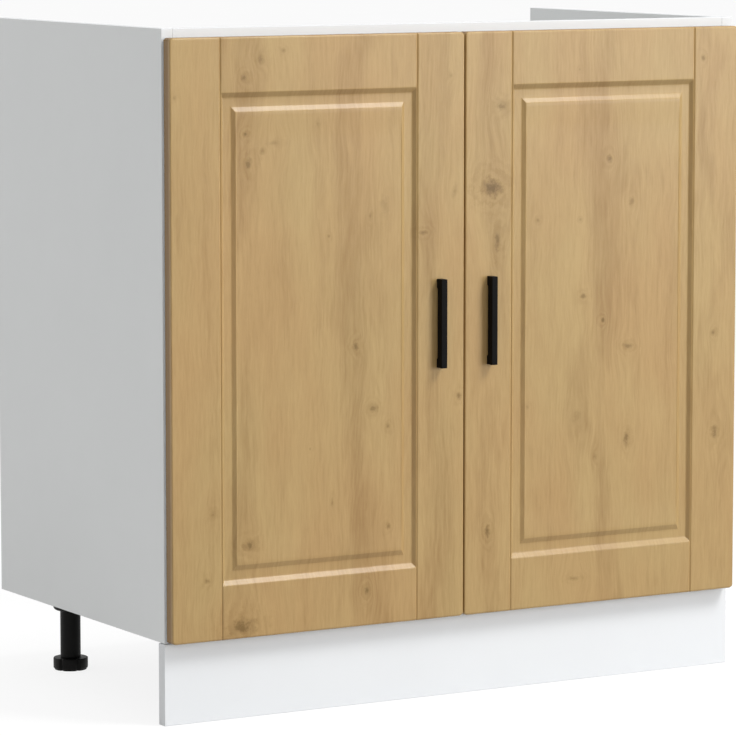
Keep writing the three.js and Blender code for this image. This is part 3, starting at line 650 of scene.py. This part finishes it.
    # Painted shade: the door's outer walls are darkened to a brown as the attribute nears 2.
    wood = mixed_colour(tree, spread(tree, heart_and_painted_wall_shade, 0, 0.95, 1.2, 2), wood, painted_wall_shade_brown)
    wood = mixed_colour(tree, math_node(tree, "MULTIPLY", core, 0.66), wood, knot_brown)
    tree.links.new(wood, shader.inputs["Base Color"])

    tree.links.new(spread(tree, streak, 0.40, 0.50), shader.inputs["Roughness"])
    raised(tree, shader, math_node(tree, "SUBTRACT", fine, pore), 0.08, 0.00006)
    return material


oak = oak_foil()
door_back_white = white_melamine("white_door_back", face_white, 900)


def close_back(piece, foil_faces):
    """Fills the flat back of a door between the rim of its shell and the rims of its bores, and makes
    every face after the foil's own white."""
    mesh = bmesh.new()
    mesh.from_mesh(piece.data)
    rims = [edge for edge in mesh.edges if edge.is_boundary]
    bmesh.ops.triangle_fill(mesh, use_beauty=True, use_dissolve=False, edges=rims)
    bmesh.ops.recalc_face_normals(mesh, faces=mesh.faces)
    mesh.to_mesh(piece.data)
    mesh.free()
    white = np.arange(len(piece.data.polygons)) >= foil_faces
    piece.data.polygons.foreach_set("material_index", white.astype(int))
    shaded_smooth(piece.data, 40)


for side in ("left", "right"):
    low, high = corners(f"door_{side}")
    points, across, up = door_shell(low, high)
    triangles = mitred_faces(*across.shape)
    parts = [(points.reshape(-1, 3), triangles.tolist())]
    for row in ("lower", "upper"):
        cup_low, cup_high = corners(f"hinge_cup_{side}_{row}")
        x = cup_low[0] + bore["from_cup_edge"] if side == "left" else cup_high[0] - bore["from_cup_edge"]
        centre = (x, high[1], (cup_low[2] + cup_high[2]) / 2)
        bore_points, bore_faces = skin(round_rings(centre, 1, bore["across"], 0, -bore["deep"]))
        parts.append((bore_points, bore_faces[:-2] + bore_faces[-1:]))
    piece = made(f"door_{side}_slab", parts, [oak, door_back_white])
    close_back(piece, len(triangles))

    # The grain map, and the heartwood with painted shade on the walls: the attribute is 2 on the walls that
    # don't face the other door, which makes them darker and browner.
    mesh = piece.data
    loops = np.empty(len(mesh.loops), int)
    mesh.loops.foreach_get("vertex_index", loops)
    push = grain_push(across, up, side)
    grain = np.zeros((len(mesh.vertices), 2))
    grain[:across.size] = np.stack([(across - push).ravel(), up.ravel()], -1) * MM
    mesh.uv_layers.new(name="grain").data.foreach_set("uv", grain[loops].ravel())
    from_outside = across - low[0] if side == "left" else high[0] - across
    inset = np.minimum.reduce([from_outside, up - low[2], high[2] - up])
    # Painted shade on those walls: 0 at 0.8 mm inside the outline, rising to 2 at 0.8 mm past it.
    painted_wall_shade = 2 * np.clip((0.8 - inset) / 1.6, 0, 1)
    shade = np.zeros(len(mesh.vertices))
    shade[:across.size] = np.maximum(heartwood(across - 0.5 * push, up, side), painted_wall_shade).ravel()
    mesh.attributes.new("heart_and_painted_wall_shade", "FLOAT", "POINT").data.foreach_set("value", shade)

    # The nearest knot, and far from any on the back.
    place = np.full((len(loops), 3), (9.0, 9.0, 0.0))
    front = loops[:triangles.size].reshape(-1, 3)
    place[:triangles.size] = nearest_knot(across.ravel()[front], up.ravel()[front], side).reshape(-1, 3)
    mesh.attributes.new("knot", "FLOAT_VECTOR", "CORNER").data.foreach_set("vector", place.ravel())
    fitted(piece, f"{side}_door", "oak_foil", f"door_{side}")

# ---- Handles -----------------------------------------------------------------------------------
# A square black bar with a short foot at each end, die-cast and powder coated. Two machine screws come
# through the door from behind into its feet.

handle_ease = 0.55
foot_length, foot_relief, foot_step = 11, 2, 0.8
screw = {"shank_radius": 2.0, "head_high": 2.2, "crown_high": 0.81, "flat_radius": 2.8}
cross = {"half_length": 2.2, "half_width": 0.55, "deep": 1.1}


def black_coat():
    """Black powder coat: a fine pebbled skin with a low satin gloss, and gloss that varies a little."""
    material, tree, shader = new_finish("black_powder_coat", Specular_IOR_Level=0.05)
    cloud = spread(tree, object_noise(tree, 120, 3), 0, 1)
    tree.links.new(mixed_colour(tree, cloud, (0.0035, 0.0033, 0.0031), (0.0052, 0.0048, 0.0045)),
                   shader.inputs["Base Color"])
    pebbles = object_noise(tree, 2600, 2)
    tree.links.new(spread(tree, pebbles, 0.34, 0.46), shader.inputs["Roughness"])
    raised(tree, shader, pebbles, 0.25, 0.00006)
    return material


def handle_bar(low, high):
    """Rings of the handle, carried upwards. The section is a rectangle with eased corners. Its back lies on
    the door for the length of each foot and rises off it in between, along a smooth step that reaches
    foot_step to each side."""
    quarter = np.radians(np.linspace(4, 90, 5))
    advance, radius = handle_ease * (1 - np.cos(quarter)), handle_ease * np.sin(quarter)
    length = high[2] - low[2]
    half_step = np.array([0.3, 0.55, foot_step])
    step = np.concatenate([-half_step[::-1], [0], half_step])
    middle = np.concatenate([foot_length + step, length - foot_length + step])
    place = np.concatenate([advance, middle, length - advance[::-1]])
    radius = np.concatenate([radius, np.full(len(middle), handle_ease), radius[::-1]])
    from_end = np.minimum(place, length - place)
    rise = np.clip((from_end - foot_length + foot_step) / (2 * foot_step), 0, 1)
    back = high[1] - foot_relief * rise * rise * (3 - 2 * rise)
    turn = np.radians(np.arange(4)[:, None] * 90 + np.linspace(0, 90, 5)).ravel()
    right, behind = np.repeat([1, 0, 0, 1], 5), np.repeat([1, 1, 0, 0], 5)
    centre_x = np.where(right, high[0] - handle_ease, low[0] + handle_ease)
    centre_y = np.where(behind, back[:, None] - handle_ease, low[1] + handle_ease)
    rings = np.empty((len(place), len(turn), 3))
    rings[..., 0] = centre_x + radius[:, None] * np.cos(turn)
    rings[..., 1] = centre_y + radius[:, None] * np.sin(turn)
    rings[..., 2] = low[2] + place[:, None]
    return rings


def turned(profile, centre, axis, steps=64):
    """Rings of a turned piece: a profile of (radius, distance along the axis) points spun round an axis
    through a centre."""
    turn = np.radians(np.arange(steps) * 360 / steps)
    profile = np.asarray(profile, float)
    a, b = (axis + 1) % 3, (axis + 2) % 3
    rings = np.empty((len(profile), steps, 3))
    rings[..., a] = centre[a] + profile[:, :1] * np.cos(turn)
    rings[..., b] = centre[b] + profile[:, :1] * np.sin(turn)
    rings[..., axis] = centre[axis] + profile[:, 1:]
    return rings


def cross_slotted(rings, centre, axis):
    """Presses a screwdriver's cross into the top of a turned head: a point sinks where it lies in either
    slot, with a short slope at the slots' edges."""
    a = np.abs(rings[..., (axis + 1) % 3] - centre[(axis + 1) % 3])
    b = np.abs(rings[..., (axis + 2) % 3] - centre[(axis + 2) % 3])
    long, short = np.maximum(a, b), np.minimum(a, b)
    inside = (np.clip((cross["half_width"] - short) / 0.25, 0, 1)
              * np.clip((cross["half_length"] - long) / 0.4, 0, 1))
    rings[..., axis] -= cross["deep"] * inside


coat = black_coat()
for side in ("left", "right"):
    low, high = corners(f"handle_{side}")
    handle = made(f"handle_{side}_bar", [skin(handle_bar(low, high))], [coat])
    flats_kept_flat(handle)
    fitted(handle, f"{side}_door", "black_metal", f"handle_{side}")

    for row in ("lower", "upper"):
        low, high = corners(f"handle_screw_{side}_{row}")
        centre = ((low[0] + high[0]) / 2, high[1], (low[2] + high[2]) / 2)
        radius, reach = (high[0] - low[0]) / 2, high[1] - low[1]
        shaft, under = screw["shank_radius"], -screw["head_high"]
        shank = [(shaft - 0.1, -reach), (shaft, 0.3 - reach), (shaft, under)]
        rim = [(radius - 0.2, under), (radius, under + 0.3), (radius, -1.0)]
        # The crown is a low dome, and its flat middle has points close together to take the cross.
        dome = [(radius * np.sin(turn), -screw["crown_high"] * (1 - np.cos(turn)))
                for turn in np.radians(np.linspace(90, 6, 16))]
        crown = [place for place in dome if screw["flat_radius"] + 0.1 < place[0] < radius]
        flat = [(r, -0.02) for r in np.linspace(screw["flat_radius"], 0.12, 18)]
        rings = turned(shank + rim + crown + flat, centre, axis=1)
        cross_slotted(rings[-len(flat):], centre, axis=1)
        head = made(f"handle_screw_{side}_{row}_head", [skin(rings)], [plated_zinc], 50)
        fitted(head, f"{side}_door", "zinc_plated_steel", f"handle_screw_{side}_{row}")

# ---- Hinges ------------------------------------------------------------------------------------
# Concealed hinges of pressed, nickel-plated steel: a cup let into the door, a link, and a folded arm
# screwed down on a winged plate. Every pressed edge is slightly rounded.


def pressed(node, body, slot, material, edge):
    """A copy of a CAD node with its corners merged and its flat faces made whole, and every edge that
    turns by more than 30 degrees rounded by a small bevel."""
    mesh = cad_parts[node].data.copy()
    mesh.name = node + "_pressed"
    shape = bmesh.new()
    shape.from_mesh(mesh)
    bmesh.ops.remove_doubles(shape, verts=shape.verts, dist=1e-6)
    bmesh.ops.dissolve_limit(shape, angle_limit=math.radians(1), verts=shape.verts, edges=shape.edges)
    shape.to_mesh(mesh)
    shape.free()
    mesh.materials.clear()
    mesh.materials.append(material)
    piece = bpy.data.objects.new(node + "_pressed", mesh)
    bpy.context.collection.objects.link(piece)
    mesh.polygons.foreach_set("use_smooth", np.ones(len(mesh.polygons), bool))
    bevel = piece.modifiers.new("rounded", "BEVEL")
    bevel.width, bevel.segments = edge * MM, 2
    bevel.limit_method, bevel.angle_limit = "ANGLE", math.radians(30)
    bevel.harden_normals = True
    fitted(piece, body, slot, node)


nickel = metal("nickel_plate", (0.62, 0.61, 0.585), 0.27, uneven=0.03, relief=0.02, dull=0.04)
for side in ("left", "right"):
    for row in ("lower", "upper"):
        for part, body in (("cup", f"{side}_door"), ("link", f"{side}_hinge_links"),
                           ("arm", "carcass"), ("plate", "carcass")):
            pressed(f"hinge_{part}_{side}_{row}", body, "nickel_plated_steel", nickel, edge=0.25)

# ---- Legs --------------------------------------------------------------------------------------
# Moulded black plastic. A wide socket is pressed into the bottom board, its hollow column holds the
# threaded stem of a screw foot, and the foot's notched disc is turned by hand to level the cabinet.

column = {"radius": 12.75, "bore": 9.05, "bore_top": 90, "chamfer": 0.6, "fillet": 1.5}
socket = {"high": 23, "round": 5.5, "chamfer": 0.6, "peg": 5, "peg_high": 10}
disc = {"high": 15, "round": 1.2}
stem = {"radius": 8.75, "top": 80, "chamfer": 0.6}
notches = {"count": 6, "deep": 2.0, "half_turn": 0.085}


def black_plastic():
    """Moulded black plastic: a spark-eroded texture, and a soft gloss that varies a little."""
    material, tree, shader = new_finish("black_plastic", Specular_IOR_Level=0.10)
    cloud = spread(tree, object_noise(tree, 90, 3), 0, 1)
    tree.links.new(mixed_colour(tree, cloud, (0.0048, 0.0046, 0.0043), (0.0075, 0.0071, 0.0067)),
                   shader.inputs["Base Color"])
    texture = object_noise(tree, 1800, 3)
    tree.links.new(spread(tree, texture, 0.40, 0.52), shader.inputs["Roughness"])
    raised(tree, shader, texture, 0.25, 0.00008)
    return material


def arc(centre, radius, start, end, steps=8):
    """Points on a circle's arc, from one angle in degrees to another."""
    turn = np.radians(np.linspace(start, end, steps))
    return [(centre[0] + radius * math.cos(t), centre[1] + radius * math.sin(t)) for t in turn]


plastic = black_plastic()
for row in ("front", "rear"):
    for side in ("left", "right"):
        low, high = corners(f"leg_housing_{row}_{side}")
        centre = np.array([(low[0] + high[0]) / 2, (low[1] + high[1]) / 2, 0])
        board_low, bottom = corners("bottom_panel")[0][2], low[2]
        wide, narrow, hole = (high[0] - low[0]) / 2, column["radius"], column["bore"]
        chamfer, fillet = column["chamfer"], column["fillet"]
        socket_low = board_low - socket["high"]
        # The profile runs down the column's bore, up its outside, round the socket, and in to a peg.
        tube = [(hole, column["bore_top"]), (hole, bottom + chamfer), (hole + chamfer, bottom),
                (narrow - chamfer, bottom), (narrow, bottom + chamfer)]
        neck = arc((narrow + fillet, socket_low - fillet), fillet, 180, 90, 5)
        bowl = arc((wide - socket["round"], socket_low + socket["round"]), socket["round"], -90, 0, 9)
        top = [(wide, board_low - socket["chamfer"]), (wide - socket["chamfer"], board_low),
               (socket["peg"], board_low), (socket["peg"], board_low + socket["peg_high"])]
        rings = turned(tube + neck + bowl + top, centre, axis=2)
        housing = made(f"leg_{row}_{side}_column", [skin(rings)], [plastic], 30)
        fitted(housing, "carcass", "black_plastic", f"leg_housing_{row}_{side}")

        low, high = corners(f"screw_foot_{row}_{side}")
        edge, thin = (high[0] - low[0]) / 2, stem["radius"]
        # The profile runs up the disc's rim, in over its top, and up the stem.
        rim = [(edge - 1.6, 0), (edge - 1.3, 1.4), (edge - 0.5, 1.8), (edge, 2.6)]
        rim += [(edge, disc["high"] - disc["round"])]
        rim += arc((edge - disc["round"], disc["high"] - disc["round"]), disc["round"], 20, 90, 5)
        screw_stem = [(thin + 0.8, disc["high"]), (thin, disc["high"] + 0.3),
                      (thin, stem["top"] - stem["chamfer"]), (thin - stem["chamfer"], stem["top"])]
        profile, steps = rim + screw_stem, 144
        rings = turned(profile, centre, axis=2, steps=steps)
        # The notches: points of the disc move inwards by a flat-topped bell curve round each notch.
        pitch = 2 * np.pi / notches["count"]
        to_notch = ((np.arange(steps) * 2 * np.pi / steps / pitch) % 1 - 0.5) * pitch
        dip = notches["deep"] * np.exp(-(to_notch / notches["half_turn"]) ** 4)
        radius = np.array(profile)[:, :1]
        share = np.where(radius > thin + 1.5, (radius - dip) / radius, 1)
        rings[..., :2] = centre[:2] + (rings[..., :2] - centre[:2]) * share[..., None]
        screw_foot = made(f"foot_{row}_{side}_disc", [skin(rings)], [plastic], 40)
        fitted(screw_foot, f"{row}_{side}_foot", "black_plastic", f"screw_foot_{row}_{side}")

# ---- Plinth ------------------------------------------------------------------------------------
# A loose white board that hides the front legs. Two plastic clips are screwed to its back and grip the
# legs' columns, so it pulls straight off.

plinth_white = (0.815, 0.832, 0.848)
plinth_front = white_melamine("white_plinth_face", plinth_white, 900)
board("plinth", "plinth", thin=1, along=0, face=plinth_front)
for side in ("left", "right"):
    pressed(f"plinth_clip_{side}", "plinth", "black_plastic", plastic, edge=0.5)
